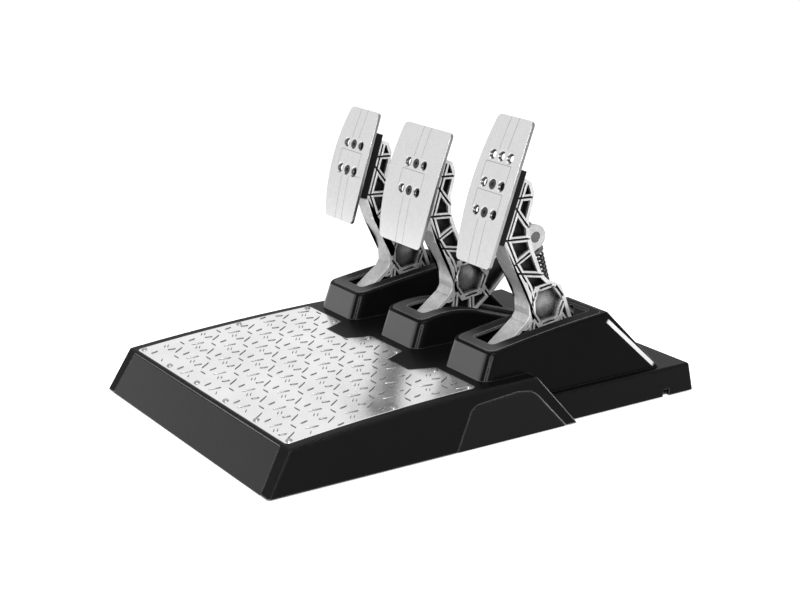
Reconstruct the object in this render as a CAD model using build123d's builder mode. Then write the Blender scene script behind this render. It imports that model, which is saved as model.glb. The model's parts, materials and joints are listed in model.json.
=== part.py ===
from build123d import *
from math import atan2, copysign, cos, degrees, hypot, pi, radians, sin, sqrt
import os

os.makedirs("parts", exist_ok=True)

# The set stands on the floor: origin under its middle, +Y away from the driver, +X to the driver's right.

# Base casing
base_length = 430.0
base_width = 292.0
foot_height = 1.5
casing_wall = 4.0
nose_height = 36.8
nose_lean = 21.0
crown_height = 45.4
crown_setback = 135.0
seam_height = 48.0
seam_top_setback = 253.0
seam_run = 40.0
side_lean = 4.5
edge_radius = 2.6
rear_inset = 7.5
rear_height = 27.0
rear_lean = 5.0
cable_notch = 7.0
cable_notch_setback = 398.0
notch_depth = 6.0
fit_gap = 0.3
overrun = 5.0

# Footrest plate
tread_thickness = 2.0
tread_half_width = 132.5
tread_front_setback = 24.0
tread_rear_setback = 198.0
tread_notch_depth = 21.0
tread_notch_half = 16.5
tread_notch_flare = 9.5
tread_corner = 4.0
tread_margin = 4.5
tread_screw_radius = 1.5
tread_screw_head = 2.9
tread_screw_top_share = 0.6
tread_screw_rise = 1.3
tread_screw_length = 7.0
tread_side_screw_setback = 122.0
rear_screw_inner = 22.5
rear_screw_outer = 80.5
front_screw_count = 6

# Fascia and side panels
panel_depth = 1.2
fascia_end_strip = 13.0
fascia_rise_share = 0.93
side_panel_shares = [
    (0.0, 0.0),
    (0.14, 0.82),
    (0.19, 0.92),
    (0.56, 1.0),
    (0.68, 0.95),
    (0.74, 0.84),
    (1.0, 0.0),
]
side_panel_setback = 171.5
side_panel_length = 108.5
side_panel_height = 37.4
panel_seam = 0.4

# Housings
pedal_spacing = 100.0
housing_wall = 2.5
housing_half_foot = 31.8
housing_half_top = 28.0
housing_front_setback = 207.0
housing_front_lean = 8.0
housing_front_height = 70.5
housing_mid_setback = 275.0
housing_mid_height = 79.3
housing_rear_setback = 338.0
housing_rear_height = 85.5
housing_tail_run = 58.0
clutch_shorter_by = 12.0
brake_crest_setback = 247.0
brake_crest_height = 75.2
brake_shoulder_setback = 277.0
brake_shoulder_height = 70.6
brake_tail_setback = 397.0
brake_tail_height = 32.5
brake_tail_lean = 4.0
housing_corner = 10.0
housing_tail_radius = 3.0
housing_edge_radius = 2.2
slot_half_width = 14.0
slot_front_setback = 227.0
slot_rear_setback = 330.0
brake_slot_rear_setback = 389.0
slot_corner = 4.0
bezel_thickness = 1.6
bezel_half_width = 25.0
bezel_corner = 7.0
bezel_inset = 3.0
bezel_rise = 0.3
well_half_width = 18.0
well_front_setback = 210.0
well_rear_setback = 372.0
brake_well_rear_setback = 392.0

# Floor plate, feet and fasteners
floor_thickness = 2.0
floor_gap = 0.4
mount_spacing_x = 200.0
mount_spacing_y = 320.0
mount_hole_radius = 3.0
mount_boss_radius = 6.5
mount_boss_height = 6.0
foot_radius = 9.0
foot_inset = 16.0
casing_screw_radius = 1.6
casing_screw_head = 3.0
casing_screw_head_share = 0.7
casing_screw_length = 9.0
casing_boss_radius = 4.0
casing_screw_inset = 9.0

# Pedal pivots
pivot_setback = 230.0
pedal_advance = 7.5
pivot_height = 55.0
axle_radius = 4.0
axle_clearance = 0.03
bush_wall = 1.5
bush_flange = 0.7
bush_flange_width = 1.6
hub_radius = 8.6
bracket_sheet = 2.5
bracket_gap = 1.0
bracket_front = 13.0
bracket_rear = 22.0
bracket_eye = 9.0
clip_width = 1.0
clip_radius = 5.5

# Cast pedal arms
arm_reach = 90.0
arm_height = 156.0
arm_width = 20.0
arm_flange = 3.2
front_flange = 6.8
arm_web = 4.0
rib_width = 5.2
rib_drop = 0.5
groove_width = 1.7
groove_depth = 3.0
groove_end = 3.4
hex_radius = 15.3
hex_turn = 8.0
hex_web = 9.0
hex_place_share = (0.631, 0.265)
arm_seat_start = 24.0
arm_seat_end = 79.0
outline_radius = 2.5
front_outline_shares = [
    (0.224, 0.500),
    (0.376, 0.361),
    (0.410, 0.304),
    (0.419, 0.219),
    (0.382, 0.185),
    (0.0, 0.020),
]
crown_outline_shares = [(0.409, 0.946), (0.444, 0.890), (0.432, 0.830)]
rear_outline_shares = [
    (0.392, 0.754),
    (0.401, 0.663),
    (0.447, 0.582),
    (0.557, 0.440),
    (0.632, 0.399),
    (0.781, 0.362),
]
heel_outline_shares = [(0.839, 0.290), (0.905, 0.190), (0.960, 0.120), (0.985, 0.088)]
toe_end_shares = [(1.175, 0.088), (1.175, 0.058)]
foot_outline_shares = [(1.030, 0.036), (0.73, 0.036), (0.50, 0.010), (0.20, -0.042)]
strut_outline_shares = [(0.839, 0.350), (1.382, 0.503)]
strut_under_shares = [
    (1.461, 0.365),
    (1.047, 0.233),
    (0.927, 0.165),
    (0.70, 0.064),
    (0.50, 0.010),
    (0.20, -0.042),
]
magnet_place_share = (0.222, 0.020)
rib_shares = [
    ((0.20, 0.872), (0.46, 0.864)),
    ((0.20, 0.848), (0.41, 0.690)),
    ((0.06, 0.657), (0.44, 0.643)),
    ((0.20, 0.500), (0.44, 0.575)),
    ((0.24, 0.469), (0.60, 0.430)),
    ((0.47, 0.200), (0.445, -0.01)),
    ((0.655, 0.170), (0.67, 0.01)),
    ((0.80, 0.190), (0.96, 0.06)),
]

# Face plates and spacers
throttle_face_start_share = (-0.162, 0.541)
short_face_start_share = (-0.122, 0.535)
throttle_face_slope = 19.9
short_face_slope = 17.3
throttle_face_radius = 500.0
short_face_radius = 340.0
face_thickness = 3.0
face_corner = 5.0
throttle_face_length = 123.0
short_face_length = 102.0
short_face_drop = 3.0
throttle_face_half_end = 22.5
throttle_face_half_mid = 27.0
clutch_face_half_end = 22.5
clutch_face_half_mid = 28.0
brake_face_half_foot = 30.5
brake_face_half_top = 34.5
brake_face_half_mid = 36.6
screw_row_one = 43.0
screw_row_pitch = 23.5
screw_column_pitch = 11.5
face_hole_radius = 2.6
face_sink_radius = 4.7
face_sink_depth = 2.0
face_screw_radius = 2.4
face_screw_head = 4.3
face_screw_head_depth = 1.8
face_screw_sunk = 0.3
screw_clearance = 0.05
face_screw_grip = 3.0
socket_radius = 1.6
socket_depth = 1.4
spacer_back = 17.0
spacer_half_width = 12.5
spacer_start = 21.0
spacer_end = 84.0

# Brake spring strut, from the knuckle on the arm down to the load cell
knuckle_setback = 351.0
knuckle_height = 123.0
trunnion_setback = 373.0
trunnion_height = 50.0
knuckle_radius = 10.4
eye_radius = 11.4
fork_gap = 5.9
fork_depth = 16.0
fork_pad = 27.0
knuckle_side_gap = 0.35
journal_radius = 5.0
journal_clearance = 0.06
rod_radius = 4.0
rod_play = 0.7
rod_above = 5.0
neck_radius = 5.4
seat_start = 14.0
seat_thickness = 2.4
seat_radius = 10.2
spring_radius = 9.5
spring_wire = 2.4
spring_turns = 11
spring_lift = 0.25
trunnion_radius = 9.0
trunnion_half = 8.6
trunnion_flat = 8.0
nut_radius = 6.6
nut_height = 5.0
nut_gap = 0.5
rod_tail = 2.0
rod_fit = 0.03
guide_play = 0.4
guide_height = 3.0
yoke_ear = 3.5
yoke_ear_radius = 7.4
yoke_ear_gap = 0.5
yoke_base = 4.0
yoke_half_length = 17.0
cell_height = 12.0
cell_radius = 18.0
cell_bore = 10.5
cell_shift = 7.0
cell_screw_radius = 1.5
cell_screw_head = 2.6
cell_screw_head_height = 2.8
cell_screw_grip = 8.0

# Return springs of the clutch and the throttle
return_setback = 307.0
return_radius = 8.0
return_wire = 2.0
return_turns = 8
return_cup_height = 6.0
return_cup_radius = 10.5
return_cup_wall = 1.5
return_pin_radius = 4.5
return_pin_height = 12.0
return_seat = 2.0
pad_length = 6.0
pad_half_width = 9.0
pad_gap = 0.3

# Electronics
board_thickness = 1.6
board_length = 60.0
board_width = 38.0
board_setback = 345.0
board_post = 4.0
board_post_radius = 2.5
board_side = 50.0
chip_pitch = 14.0
plug_block = (16.0, 6.0, 5.0)
chip_size = 9.0
chip_height = 1.4
socket_block = (15.0, 16.0, 12.5)
socket_hole = (9.8, 7.2)
socket_depth_inside = 12.0
socket_place = 60.0
sensor_thickness = 1.6
sensor_size = 15.0
sensor_gap = 1.2
sensor_height = 60.0
sensor_foot = 10.0
sensor_sheet = 1.5
magnet_radius = 3.0
magnet_length = 2.5
magnet_boss_radius = 4.5

front_y = -base_length / 2
rear_y = base_length / 2
base_half = base_width / 2
rear_half = base_half - rear_inset
floor_top = foot_height + floor_thickness
pedal_places = {"clutch": -pedal_spacing, "brake": 0, "throttle": pedal_spacing}
pivot_places = {
    "clutch": pivot_setback - pedal_advance - base_length / 2,
    "brake": pivot_setback - pedal_advance - base_length / 2,
    "throttle": pivot_setback - base_length / 2,
}


def setback(distance):
    """The Y place that lies this far behind the front edge of the base."""
    return front_y + distance


def save(block, label):
    block.part.label = label
    export_step(block.part, f"parts/{label}.step")


def keep_taper(foot_half, top_half, foot_z, top_z):
    """Corners of the front view that gives a casing its leaning side walls."""
    return [(-foot_half, foot_z), (foot_half, foot_z), (top_half, top_z), (-top_half, top_z)]


# Outlines of the base casing, drawn in by a wall for the hollow
def front_block(inset, drop):
    slope = nose_lean / (nose_height - foot_height)
    side_slope = side_lean / (seam_height - foot_height)
    with BuildPart() as block:
        with BuildSketch(Plane.YZ):
            with BuildLine():
                nose = Line(
                    (front_y + inset - slope * drop, foot_height - drop),
                    (front_y + nose_lean + inset * (1 - slope), nose_height - inset),
                )
                crown = ThreePointArc(
                    nose @ 1,
                    (setback(crown_setback), crown_height - inset),
                    (setback(seam_top_setback) - inset, seam_height - inset),
                )
                seam = Line(crown @ 1, (setback(seam_top_setback) + seam_run - inset, foot_height - drop))
                Line(seam @ 1, nose @ 0)
            make_face()
        extrude(amount=base_width, both=True)
        with BuildSketch(Plane.XZ):
            Polygon(
                *keep_taper(
                    base_half - inset + side_slope * drop,
                    base_half - inset - side_lean - side_slope * overrun,
                    foot_height - drop,
                    seam_height + overrun,
                ),
                align=None,
            )
        extrude(amount=base_length, both=True, mode=Mode.INTERSECT)
    return block


def rear_block(inset, drop):
    seam_y = setback(seam_top_setback)
    slope = seam_run / (seam_height - foot_height)
    with BuildPart() as block:
        with BuildSketch(Plane.YZ):
            Polygon(
                (seam_y + slope * (seam_height - foot_height + drop), foot_height - drop),
                (seam_y + slope * (seam_height - rear_height + inset), rear_height - inset),
                (rear_y - rear_lean - inset, rear_height - inset),
                (rear_y - inset, foot_height - drop),
                align=None,
            )
        extrude(amount=base_width, both=True)
        with BuildSketch(Plane.XZ):
            Polygon(
                *keep_taper(
                    rear_half - inset,
                    rear_half - side_lean / 2 - inset,
                    foot_height - drop,
                    seam_height,
                ),
                align=None,
            )
        extrude(amount=base_length, both=True, mode=Mode.INTERSECT)
    return block


front_solid = front_block(0, 0)
front_hollow = front_block(casing_wall, overrun)
rear_solid = rear_block(0, 0)
rear_hollow = rear_block(casing_wall, overrun)
with BuildPart() as casing_skin:
    add(front_solid.part)
    add(front_block(panel_depth, overrun).part, mode=Mode.SUBTRACT)


# Footrest plate and the recess that holds it
def crown_slab(rise, sink):
    """A bent sheet that follows the crown of the casing, from a rise above it to a sink below it."""
    crown_points = [
        (front_y + nose_lean, nose_height),
        (setback(crown_setback), crown_height),
        (setback(seam_top_setback), seam_height),
    ]
    with BuildPart() as slab:
        with BuildSketch(Plane.YZ):
            with BuildLine():
                upper = ThreePointArc(*[(y, z + rise) for y, z in crown_points])
                lower = ThreePointArc(*[(y, z - sink) for y, z in crown_points])
                Line(upper @ 0, lower @ 0)
                Line(upper @ 1, lower @ 1)
            make_face()
        extrude(amount=tread_half_width, both=True)
        tread_front = setback(tread_front_setback)
        tread_rear = setback(tread_rear_setback)
        with BuildSketch():
            with Locations((0, (tread_front + tread_rear) / 2)):
                RectangleRounded(2 * tread_half_width, tread_rear - tread_front, tread_corner)
            for side in (-1, 1):
                middle = side * pedal_spacing / 2
                Polygon(
                    (middle - tread_notch_half - tread_notch_flare, tread_rear),
                    (middle - tread_notch_half, tread_rear - tread_notch_depth),
                    (middle + tread_notch_half, tread_rear - tread_notch_depth),
                    (middle + tread_notch_half + tread_notch_flare, tread_rear),
                    align=None,
                    mode=Mode.SUBTRACT,
                )
        extrude(amount=seam_height + overrun, mode=Mode.INTERSECT)
    return slab


def crown_frame(y):
    """Height and slope of the crown at a Y place, on the circle through its three named points."""
    y1, z1 = front_y + nose_lean, nose_height
    y2, z2 = setback(crown_setback), crown_height
    y3, z3 = setback(seam_top_setback), seam_height
    bend = 2 * (y1 * (z2 - z3) + y2 * (z3 - z1) + y3 * (z1 - z2))
    squares = [y1**2 + z1**2, y2**2 + z2**2, y3**2 + z3**2]
    centre_y = (squares[0] * (z2 - z3) + squares[1] * (z3 - z1) + squares[2] * (z1 - z2)) / bend
    centre_z = (squares[0] * (y3 - y2) + squares[1] * (y1 - y3) + squares[2] * (y2 - y1)) / bend
    radius = hypot(y1 - centre_y, z1 - centre_z)
    rise = sqrt(radius**2 - (y - centre_y) ** 2)
    return centre_z + rise, degrees(atan2(centre_y - y, rise))


screw_edge = tread_half_width - tread_margin
screw_front_y = setback(tread_front_setback) + tread_margin
screw_rear_y = setback(tread_rear_setback) - tread_margin
screw_side_y = setback(tread_side_screw_setback)
front_screw_pitch = 2 * screw_edge / (front_screw_count - 1)
tread_screw_places = [(-screw_edge + n * front_screw_pitch, screw_front_y) for n in range(front_screw_count)]
tread_screw_places += [(side * screw_edge, y) for side in (-1, 1) for y in (screw_side_y, screw_rear_y)]
for x in (rear_screw_inner, rear_screw_outer):
    tread_screw_places += [(side * x, screw_rear_y) for side in (-1, 1)]
tread_screw_seats = []
for x, y in tread_screw_places:
    seat_z, slope = crown_frame(y)
    tread_screw_seats.append(Location((x, y, seat_z), (slope, 0, 0)))

with BuildPart() as footrest_plate:
    add(crown_slab(0, tread_thickness).part)
    with Locations(*tread_screw_seats):
        Cylinder(tread_screw_radius, 2 * overrun, mode=Mode.SUBTRACT)
save(footrest_plate, "footrest_plate")

with BuildPart() as footrest_screws:
    with Locations(*tread_screw_seats):
        Cylinder(
            tread_screw_radius,
            tread_screw_length,
            align=(Align.CENTER, Align.CENTER, Align.MAX),
        )
        Cone(
            tread_screw_head,
            tread_screw_head * tread_screw_top_share,
            tread_screw_rise,
            align=(Align.CENTER, Align.CENTER, Align.MIN),
        )
save(footrest_screws, "footrest_screws")


# Fascia and side panels, thin inlays in the casing's skin
def fascia_prism(gap):
    top = foot_height + (nose_height - foot_height) * fascia_rise_share
    lean = side_lean * fascia_rise_share
    half = base_half - fascia_end_strip
    with BuildPart() as prism:
        with BuildSketch(Plane.XZ.offset(-front_y + overrun)):
            Polygon(
                *keep_taper(half + gap, half - lean + gap, foot_height - gap, top + gap),
                align=None,
            )
        extrude(amount=-(nose_lean + overrun))
    return prism


def side_prism(side, gap):
    start = setback(side_panel_setback)
    corners = [
        (start + y_share * side_panel_length, foot_height + z_share * side_panel_height)
        for y_share, z_share in side_panel_shares
    ]
    with BuildPart() as prism:
        with BuildSketch(Plane.YZ.offset(side * (base_half - 2 * overrun))):
            with BuildLine():
                Polyline(*corners, close=True)
            make_face()
            if gap:
                offset(amount=gap, kind=Kind.INTERSECTION)
        extrude(amount=side * 3 * overrun)
    return prism


with BuildPart() as front_fascia:
    add(casing_skin.part)
    add(fascia_prism(0).part, mode=Mode.INTERSECT)
save(front_fascia, "front_fascia")

for side, name in ((-1, "left_side_panel"), (1, "right_side_panel")):
    with BuildPart() as side_panel:
        add(casing_skin.part)
        add(side_prism(side, 0).part, mode=Mode.INTERSECT)
    save(side_panel, name)

with BuildPart() as inlay_prisms:
    add(fascia_prism(panel_seam).part)
    add(side_prism(-1, panel_seam).part)
    add(side_prism(1, panel_seam).part)

with BuildPart() as inlay_room:
    add(casing_skin.part)
    add(inlay_prisms.part, mode=Mode.INTERSECT)

# Openings in the deck under each housing
with BuildPart() as wells:
    for kind, pedal_x in pedal_places.items():
        well_end = brake_well_rear_setback if kind == "brake" else well_rear_setback
        well_middle = setback((well_front_setback + well_end) / 2)
        with Locations((pedal_x, well_middle, floor_top + seam_height / 2)):
            Box(2 * well_half_width, well_end - well_front_setback, seam_height)

mount_places = GridLocations(mount_spacing_x, mount_spacing_y, 2, 2)
casing_screw_places = []
for y in (front_y + 2 * casing_screw_inset, -casing_screw_inset, rear_y - 2 * casing_screw_inset):
    edge = base_half if y < 0 else rear_half
    casing_screw_places += [(side * (edge - casing_wall - casing_screw_inset), y) for side in (-1, 1)]

with BuildPart() as casing_bosses:
    with Locations(*[(x, y, floor_top) for x, y in casing_screw_places]):
        Cylinder(casing_boss_radius, seam_height, align=(Align.CENTER, Align.CENTER, Align.MIN))
        Cylinder(casing_screw_radius, 2 * casing_screw_length, mode=Mode.SUBTRACT)

def floor_outline(gap):
    """The inner outline of both casings at the floor, as plan corners."""
    front_half = base_half - casing_wall - gap
    back_half = rear_half - casing_wall - gap
    step_y = setback(seam_top_setback + seam_run) - casing_wall
    return [
        (-front_half, front_y + casing_wall + gap),
        (front_half, front_y + casing_wall + gap),
        (front_half, step_y - gap),
        (back_half, step_y - gap),
        (back_half, rear_y - casing_wall - gap),
        (-back_half, rear_y - casing_wall - gap),
        (-back_half, step_y - gap),
        (-front_half, step_y - gap),
    ]


with BuildPart() as floor_room:
    with BuildSketch(Plane.XY.offset(foot_height)):
        Polygon(*floor_outline(0), align=None)
    extrude(amount=floor_thickness)

with BuildPart() as front_bosses:
    add(casing_bosses.part)
    add(front_hollow.part, mode=Mode.INTERSECT)

with BuildPart() as rear_bosses:
    add(casing_bosses.part)
    add(rear_hollow.part, mode=Mode.INTERSECT)

with BuildPart() as front_casing:
    add(front_solid.part)
    crisp = front_casing.edges().filter_by_position(Axis.Z, foot_height + edge_radius, 2 * seam_height)
    fillet([e for e in crisp if e.center().Y < setback(seam_top_setback) - edge_radius], edge_radius)
    add(front_hollow.part, mode=Mode.SUBTRACT)
    add(front_bosses.part)
    add(floor_room.part, mode=Mode.SUBTRACT)
    add(crown_slab(overrun, tread_thickness).part, mode=Mode.SUBTRACT)
    add(inlay_room.part, mode=Mode.SUBTRACT)
    add(wells.part, mode=Mode.SUBTRACT)
    with Locations(*tread_screw_seats):
        Cylinder(tread_screw_radius, 4 * overrun, mode=Mode.SUBTRACT)
save(front_casing, "front_casing")

with BuildPart() as rear_casing:
    add(rear_solid.part)
    crisp = rear_casing.edges().filter_by_position(Axis.Z, foot_height + edge_radius, 2 * seam_height)
    seam_end = setback(seam_top_setback + seam_run)
    fillet([e for e in crisp if e.center().Y > seam_end], edge_radius)
    add(rear_hollow.part, mode=Mode.SUBTRACT)
    add(rear_bosses.part)
    add(floor_room.part, mode=Mode.SUBTRACT)
    add(front_solid.part, mode=Mode.SUBTRACT)
    add(wells.part, mode=Mode.SUBTRACT)
    with Locations((rear_half, setback(cable_notch_setback), foot_height)):
        Box(4 * casing_wall, cable_notch, 2 * notch_depth, mode=Mode.SUBTRACT)
    with Locations((socket_place, rear_y, floor_top + socket_block[2] / 2)):
        Box(
            socket_block[0] + 2 * fit_gap,
            4 * casing_wall,
            socket_block[2] + 2 * fit_gap,
            mode=Mode.SUBTRACT,
        )
save(rear_casing, "rear_casing")


# Pedal housings, each a drafted box with a sloping tail, open below and slotted above
def housing_top(kind, drop):
    """The points of the top line from front to back, with the kind of each stretch."""
    front = (setback(housing_front_setback) + housing_front_lean, housing_front_height - drop)
    if kind == "brake":
        crest = (setback(brake_crest_setback), brake_crest_height - drop)
        shoulder = (setback(brake_shoulder_setback), brake_shoulder_height - drop)
        tail = (setback(brake_tail_setback) - brake_tail_lean, brake_tail_height - drop)
        return front, crest, shoulder, tail
    shorter = clutch_shorter_by if kind == "clutch" else 0
    middle = (setback(housing_mid_setback), housing_mid_height - drop)
    rear = (setback(housing_rear_setback) - shorter, housing_rear_height - drop)
    return front, middle, rear, None


def housing_block(kind, inset):
    """The housing's outline, drawn in by a wall for its hollow."""
    front, middle, rear, tail = housing_top(kind, inset)
    base_z = foot_height + casing_wall
    rise = housing_front_height - inset - base_z
    lean = housing_front_lean / (housing_front_height - seam_height)
    with BuildPart() as block:
        with BuildSketch(Plane.YZ.offset(pedal_places[kind])):
            with BuildLine():
                face = Line((front[0] + inset - lean * rise, base_z), (front[0] + inset, front[1]))
                top = ThreePointArc(face @ 1, middle, (rear[0] - (0 if tail else inset), rear[1]))
                if tail:
                    slope = Line(top @ 1, (tail[0] - inset, tail[1]))
                    back = Line(slope @ 1, (tail[0] + brake_tail_lean - inset, base_z))
                else:
                    run = housing_tail_run * (rear[1] - base_z) / (housing_rear_height - rear_height)
                    back = Line(top @ 1, (rear[0] - inset + run, base_z))
                Line(back @ 1, face @ 0)
            make_face()
        extrude(amount=base_width, both=True)
        with BuildSketch(Plane.XZ.shift_origin((pedal_places[kind], 0, 0))):
            Polygon(
                *keep_taper(housing_half_foot - inset, housing_half_top - inset, base_z, housing_rear_height),
                align=None,
            )
        extrude(amount=base_length, both=True, mode=Mode.INTERSECT)
    return block


def housing_slot_end(kind):
    if kind == "brake":
        return setback(brake_slot_rear_setback)
    return setback(slot_rear_setback) - (clutch_shorter_by if kind == "clutch" else 0)


def bezel_slab(kind, rise):
    """The rounded frame around the slot, following the housing's top, before its slot is cut."""
    high = housing_top(kind, -rise)
    low = housing_top(kind, bezel_thickness)
    start = setback(housing_front_setback) + housing_front_lean + bezel_inset
    end = (high[3] or high[2])[0] - bezel_inset
    with BuildPart() as slab:
        with BuildSketch(Plane.YZ.offset(pedal_places[kind])):
            with BuildLine():
                upper = ThreePointArc(*high[:3])
                lower = ThreePointArc(*low[:3])
                Line(upper @ 0, lower @ 0)
                if high[3]:
                    upper = Line(upper @ 1, high[3])
                    lower = Line(lower @ 1, low[3])
                Line(upper @ 1, lower @ 1)
            make_face()
        extrude(amount=bezel_half_width, both=True)
        with BuildSketch():
            with Locations((pedal_places[kind], (start + end) / 2)):
                RectangleRounded(2 * bezel_half_width, end - start, bezel_corner)
        extrude(amount=2 * housing_rear_height, mode=Mode.INTERSECT)
    return slab


def slot_prism(kind):
    start = setback(slot_front_setback)
    end = housing_slot_end(kind)
    with BuildPart() as prism:
        with BuildSketch():
            with Locations((pedal_places[kind], (start + end) / 2)):
                RectangleRounded(2 * slot_half_width, end - start, slot_corner)
        extrude(amount=2 * housing_rear_height)
    return prism


for kind in pedal_places:
    with BuildPart() as housing:
        add(housing_block(kind, 0).part)
        upright = [e for e in housing.edges() if abs(e.tangent_at(0.5).Z) > 0.5 and e.length > housing_corner]
        face_y = setback(housing_front_setback) + housing_front_lean
        fillet([e for e in upright if e.center().Y < face_y], housing_corner)
        rear_edges = [e for e in housing.edges() if e.center().Y > housing_slot_end(kind)]
        upright = [e for e in rear_edges if abs(e.tangent_at(0.5).Z) > 0.5]
        fillet(upright, housing_tail_radius)
        roof = housing.faces().filter_by(lambda f: f.normal_at().Z > 0.8)
        roof_edges = [e for f in roof for e in f.edges()]
        shared = [e for e in roof_edges if len([o for o in roof_edges if o.is_same(e)]) > 1]
        fillet([e for e in roof_edges if not any(e.is_same(o) for o in shared)], housing_edge_radius)
        add(housing_block(kind, housing_wall).part, mode=Mode.SUBTRACT)
        add(front_solid.part, mode=Mode.SUBTRACT)
        add(rear_solid.part, mode=Mode.SUBTRACT)
        add(bezel_slab(kind, overrun).part, mode=Mode.SUBTRACT)
        add(slot_prism(kind).part, mode=Mode.SUBTRACT)
    save(housing, f"{kind}_housing")

    with BuildPart() as bezel:
        add(bezel_slab(kind, bezel_rise).part)
        add(slot_prism(kind).part, mode=Mode.SUBTRACT)
    save(bezel, f"{kind}_slot_bezel")

# Floor plate that closes the casings, with the welded bosses of the four mounting holes
with BuildPart() as floor_plate:
    with BuildSketch(Plane.XY.offset(foot_height)):
        Polygon(*floor_outline(floor_gap), align=None)
    extrude(amount=floor_thickness)
    with Locations(Plane.XY.offset(foot_height)):
        with mount_places:
            Cylinder(
                mount_boss_radius,
                mount_boss_height + floor_thickness,
                align=(Align.CENTER, Align.CENTER, Align.MIN),
            )
            Cylinder(mount_hole_radius, 4 * overrun, mode=Mode.SUBTRACT)
    with Locations(Plane(origin=(board_side, setback(board_setback), floor_top))):
        with GridLocations(board_width - 2 * board_post, board_length - 2 * board_post, 2, 2):
            Cylinder(board_post_radius, board_post, align=(Align.CENTER, Align.CENTER, Align.MIN))
    with Locations(*[(x, y, foot_height) for x, y in casing_screw_places]):
        Cylinder(casing_screw_radius, 4 * overrun, mode=Mode.SUBTRACT)
save(floor_plate, "floor_plate")

with BuildPart() as rubber_feet:
    foot_span_x = 2 * (rear_half - casing_wall - foot_inset)
    foot_span_y = base_length - 2 * (casing_wall + foot_inset + 2 * foot_radius)
    with GridLocations(foot_span_x, foot_span_y, 2, 2):
        Cylinder(foot_radius, foot_height, align=(Align.CENTER, Align.CENTER, Align.MIN))
    with GridLocations(0, foot_span_y / 2, 1, 3):
        Cylinder(foot_radius, foot_height, align=(Align.CENTER, Align.CENTER, Align.MIN))
save(rubber_feet, "rubber_feet")

with BuildPart() as casing_screws:
    with Locations(*[(x, y, foot_height) for x, y in casing_screw_places]):
        Cylinder(casing_screw_radius, casing_screw_length, align=(Align.CENTER, Align.CENTER, Align.MIN))
        Cylinder(
            casing_screw_head,
            foot_height * casing_screw_head_share,
            align=(Align.CENTER, Align.CENTER, Align.MAX),
        )
save(casing_screws, "casing_screws")


# Pivot brackets and axles
def side_plane(kind):
    """The pedal's side view: across is backwards, up is upwards, origin on the pivot."""
    return Plane(
        origin=(pedal_places[kind], pivot_places[kind], pivot_height),
        x_dir=(0, 1, 0),
        z_dir=(1, 0, 0),
    )


hub_half = arm_width / 2
cheek_inside = hub_half + bracket_gap
cheek_outside = cheek_inside + bracket_sheet
bush_radius = axle_radius + axle_clearance + bush_wall
axle_half = cheek_outside + 2 * clip_width

for kind in pedal_places:
    plane = side_plane(kind)
    with BuildPart() as bracket:
        with BuildSketch(plane):
            foot_level = floor_top - pivot_height
            Polygon(
                (-bracket_front, foot_level),
                (bracket_rear, foot_level),
                (bracket_rear, foot_level + bracket_sheet),
                (bracket_eye, 0),
                (-bracket_eye, 0),
                (-bracket_front, foot_level + bracket_sheet),
                align=None,
            )
            Circle(bracket_eye)
        extrude(amount=cheek_outside, both=True)
        with BuildSketch(plane):
            with Locations((0, foot_level + bracket_sheet)):
                Rectangle(base_width, 2 * pivot_height, align=(Align.CENTER, Align.MIN))
        extrude(amount=cheek_inside, both=True, mode=Mode.SUBTRACT)
        with BuildSketch(plane):
            Circle(bush_radius)
        extrude(amount=2 * cheek_outside, both=True, mode=Mode.SUBTRACT)
    save(bracket, f"{kind}_pivot_bracket")

    with BuildPart() as bushes:
        for side in (-1, 1):
            with BuildSketch(plane.offset(side * cheek_outside)):
                Circle(bush_radius)
            extrude(amount=-side * bracket_sheet)
            with BuildSketch(plane.offset(side * cheek_inside)):
                Circle(bush_radius + bush_flange_width)
            extrude(amount=-side * bush_flange)
        with BuildSketch(plane):
            Circle(axle_radius + axle_clearance)
        extrude(amount=arm_width, both=True, mode=Mode.SUBTRACT)
    save(bushes, f"{kind}_pivot_bushes")

    with BuildPart() as axle:
        with BuildSketch(plane):
            Circle(axle_radius)
        extrude(amount=axle_half, both=True)
        for side in (-1, 1):
            with BuildSketch(plane.offset(side * (cheek_outside + fit_gap))):
                Circle(clip_radius)
            extrude(amount=side * clip_width)
    save(axle, f"{kind}_axle")


# Cast pedal arms
def arm_point(share):
    return share[0] * arm_reach, share[1] * arm_height


face_starts = {
    "clutch": arm_point(short_face_start_share),
    "brake": arm_point(short_face_start_share),
    "throttle": arm_point(throttle_face_start_share),
}
face_slopes = {"clutch": short_face_slope, "brake": short_face_slope, "throttle": throttle_face_slope}
face_radii = {"clutch": short_face_radius, "brake": short_face_radius, "throttle": throttle_face_radius}


def face_point(kind, along, behind):
    """A point on the pedal's side view, measured up the face plate's chord and behind it."""
    slope = radians(face_slopes[kind])
    start = face_starts[kind]
    return (
        start[0] + along * sin(slope) + behind * cos(slope),
        start[1] + along * cos(slope) - behind * sin(slope),
    )


def face_foot(kind):
    return 0 if kind == "throttle" else -short_face_drop


def face_plane(kind, along, behind):
    """Across is +X, up is along the face plate's chord, and out is towards the driver."""
    slope = radians(face_slopes[kind])
    return Plane(
        origin=side_plane(kind).from_local_coords(Vector(*face_point(kind, along, behind), 0)),
        x_dir=(1, 0, 0),
        z_dir=(0, -cos(slope), sin(slope)),
    )


screw_rows = [screw_row_one, screw_row_one + screw_row_pitch]


def front_run(kind):
    """The arm's front edge from the top of the face plate's seat down to the knee."""
    seat_end = arm_seat_end + face_foot(kind)
    seat = [face_point(kind, along, spacer_back) for along in (seat_end, arm_seat_start)]
    return seat + [arm_point(share) for share in front_outline_shares]


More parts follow.
